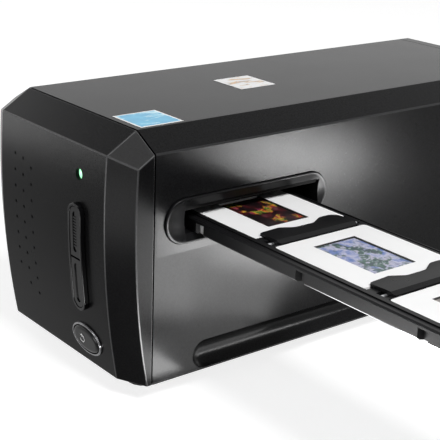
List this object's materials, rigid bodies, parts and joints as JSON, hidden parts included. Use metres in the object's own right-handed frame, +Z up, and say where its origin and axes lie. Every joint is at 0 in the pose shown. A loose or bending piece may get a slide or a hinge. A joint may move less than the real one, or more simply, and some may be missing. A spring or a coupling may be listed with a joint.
{
  "type": "film negative scanner",
  "caption": "Desktop film scanner with a bulged front, two scan buttons, and a slide holder with spring clips drawn through a side slot.",
  "frame": {"origin": "on the desk plane, under the middle of the housing", "axes": "+Z up, -Y out of the control front, +X along the drawn-out slide holder"},
  "size_m": [0.2902, 0.2743, 0.1185],
  "materials": {
    "case_black": "fine grain, satin",
    "gloss_black": "polished",
    "holder_black": "satin",
    "rim_metal": "polished",
    "lens_clear": "clear, lit",
    "rubber": "matte",
    "steel": "satin",
    "zinc_steel": "zinc plated",
    "brass": "turned",
    "mount_white": "smooth",
    "film": "glossy film",
    "inner_black": "plain moulded",
    "mirror": "front-silvered",
    "glass": "polished",
    "board": "solder mask",
    "chip_black": "moulded",
    "diffuser": "opal",
    "white_plastic": "natural acetal",
    "cable_white": "flat cable"
  },
  "bodies": {
    "housing": {"main_cover": "case_black", "front_bezel": "case_black", "rear_panel": "case_black", "base_tray": "case_black", "rubber_feet": "rubber", "slot_bezel_right": "case_black", "slot_bezel_left": "case_black", "button_surround": "gloss_black", "power_button_ring": "rim_metal", "led_lens": "lens_clear", "case_screws": "zinc_steel", "film_guide": "inner_black", "detent_spring": "steel", "chassis_plate": "zinc_steel", "guide_rods": "steel", "screw_bearings": "brass", "stepper_motor": "zinc_steel", "main_board": "board", "board_parts": "chip_black", "usb_socket": "zinc_steel", "power_jack": "gloss_black", "switch_board": "board", "switches": "chip_black", "indicator_led": "lens_clear", "flat_cable": "cable_white", "home_sensor": "chip_black", "inner_screws": "zinc_steel"},
    "film_holder": {"holder_frame": "holder_black", "clip_pins": "steel", "clip_springs": "steel", "slide_mount_1": "mount_white", "slide_mount_2": "mount_white", "slide_mount_3": "mount_white", "slide_mount_4": "mount_white", "slide_film_1": "film", "slide_film_2": "film", "slide_film_3": "film", "slide_film_4": "film"},
    "clip_1": {"slide_clip_1": "holder_black"},
    "clip_2": {"slide_clip_2": "holder_black"},
    "clip_3": {"slide_clip_3": "holder_black"},
    "clip_4": {"slide_clip_4": "holder_black"},
    "upper_button": {"upper_scan_button": "gloss_black"},
    "lower_button": {"lower_scan_button": "gloss_black"},
    "power_key": {"power_button": "gloss_black"},
    "carriage": {"optical_carriage": "inner_black", "carriage_bushes": "brass", "carriage_lid": "inner_black", "fold_mirror": "mirror", "lens_barrel": "inner_black", "lens_glass": "glass", "sensor_board": "board", "line_sensor": "chip_black", "lamp_arm": "inner_black", "lamp_diffuser": "diffuser", "light_bar": "board", "drive_nut": "white_plastic"},
    "screw": {"lead_screw": "steel", "screw_gear": "white_plastic"},
    "pinion": {"motor_pinion": "brass"}
  },
  "joints": [
    {"name": "holder_slide", "type": "slide", "parent": "housing", "child": "film_holder", "axis": [1, 0, 0], "range_m": [-0.1884, 0.06]},
    {"name": "clip_1_hinge", "type": "hinge", "parent": "film_holder", "child": "clip_1", "pos_m": [0.0332, -0.0682, 0.0791], "axis": [0, 1, 0], "range_deg": [0, 22], "stiffness_Nm_per_rad": 0.02, "springref_deg": -17.19},
    {"name": "clip_2_hinge", "type": "hinge", "parent": "film_holder", "child": "clip_2", "pos_m": [0.096, -0.0682, 0.0791], "axis": [0, 1, 0], "range_deg": [0, 22], "stiffness_Nm_per_rad": 0.02, "springref_deg": -17.19},
    {"name": "clip_3_hinge", "type": "hinge", "parent": "film_holder", "child": "clip_3", "pos_m": [0.1588, -0.0682, 0.0791], "axis": [0, 1, 0], "range_deg": [0, 22], "stiffness_Nm_per_rad": 0.02, "springref_deg": -17.19},
    {"name": "clip_4_hinge", "type": "hinge", "parent": "film_holder", "child": "clip_4", "pos_m": [0.2216, -0.0682, 0.0791], "axis": [0, 1, 0], "range_deg": [0, 22], "stiffness_Nm_per_rad": 0.02, "springref_deg": -17.19},
    {"name": "upper_button_press", "type": "slide", "parent": "housing", "child": "upper_button", "axis": [0, 1, 0], "range_m": [0, 0.0008], "stiffness_N_per_m": 400},
    {"name": "lower_button_press", "type": "slide", "parent": "housing", "child": "lower_button", "axis": [0, 1, 0], "range_m": [0, 0.0008], "stiffness_N_per_m": 400},
    {"name": "power_key_press", "type": "slide", "parent": "housing", "child": "power_key", "axis": [0, 0.9883, 0.1525], "range_m": [0, 0.0008], "stiffness_N_per_m": 400},
    {"name": "carriage_travel", "type": "slide", "parent": "housing", "child": "carriage", "axis": [0, 1, 0], "range_m": [-0.013, 0.013]},
    {"name": "screw_spin", "type": "hinge", "parent": "housing", "child": "screw", "pos_m": [0.012, 0, 0.02], "axis": [0, 1, 0], "range_deg": [-800, 800]},
    {"name": "pinion_spin", "type": "hinge", "parent": "housing", "child": "pinion", "pos_m": [0.012, 0.1, 0.0362], "axis": [0, 1, 0], "range_deg": [-1600, 1600]}
  ],
  "couplings": [
    {"joint": "screw_spin", "follows": "carriage_travel", "rad_per_m": 1047.2},
    {"joint": "pinion_spin", "follows": "carriage_travel", "rad_per_m": -2094.4}
  ]
}
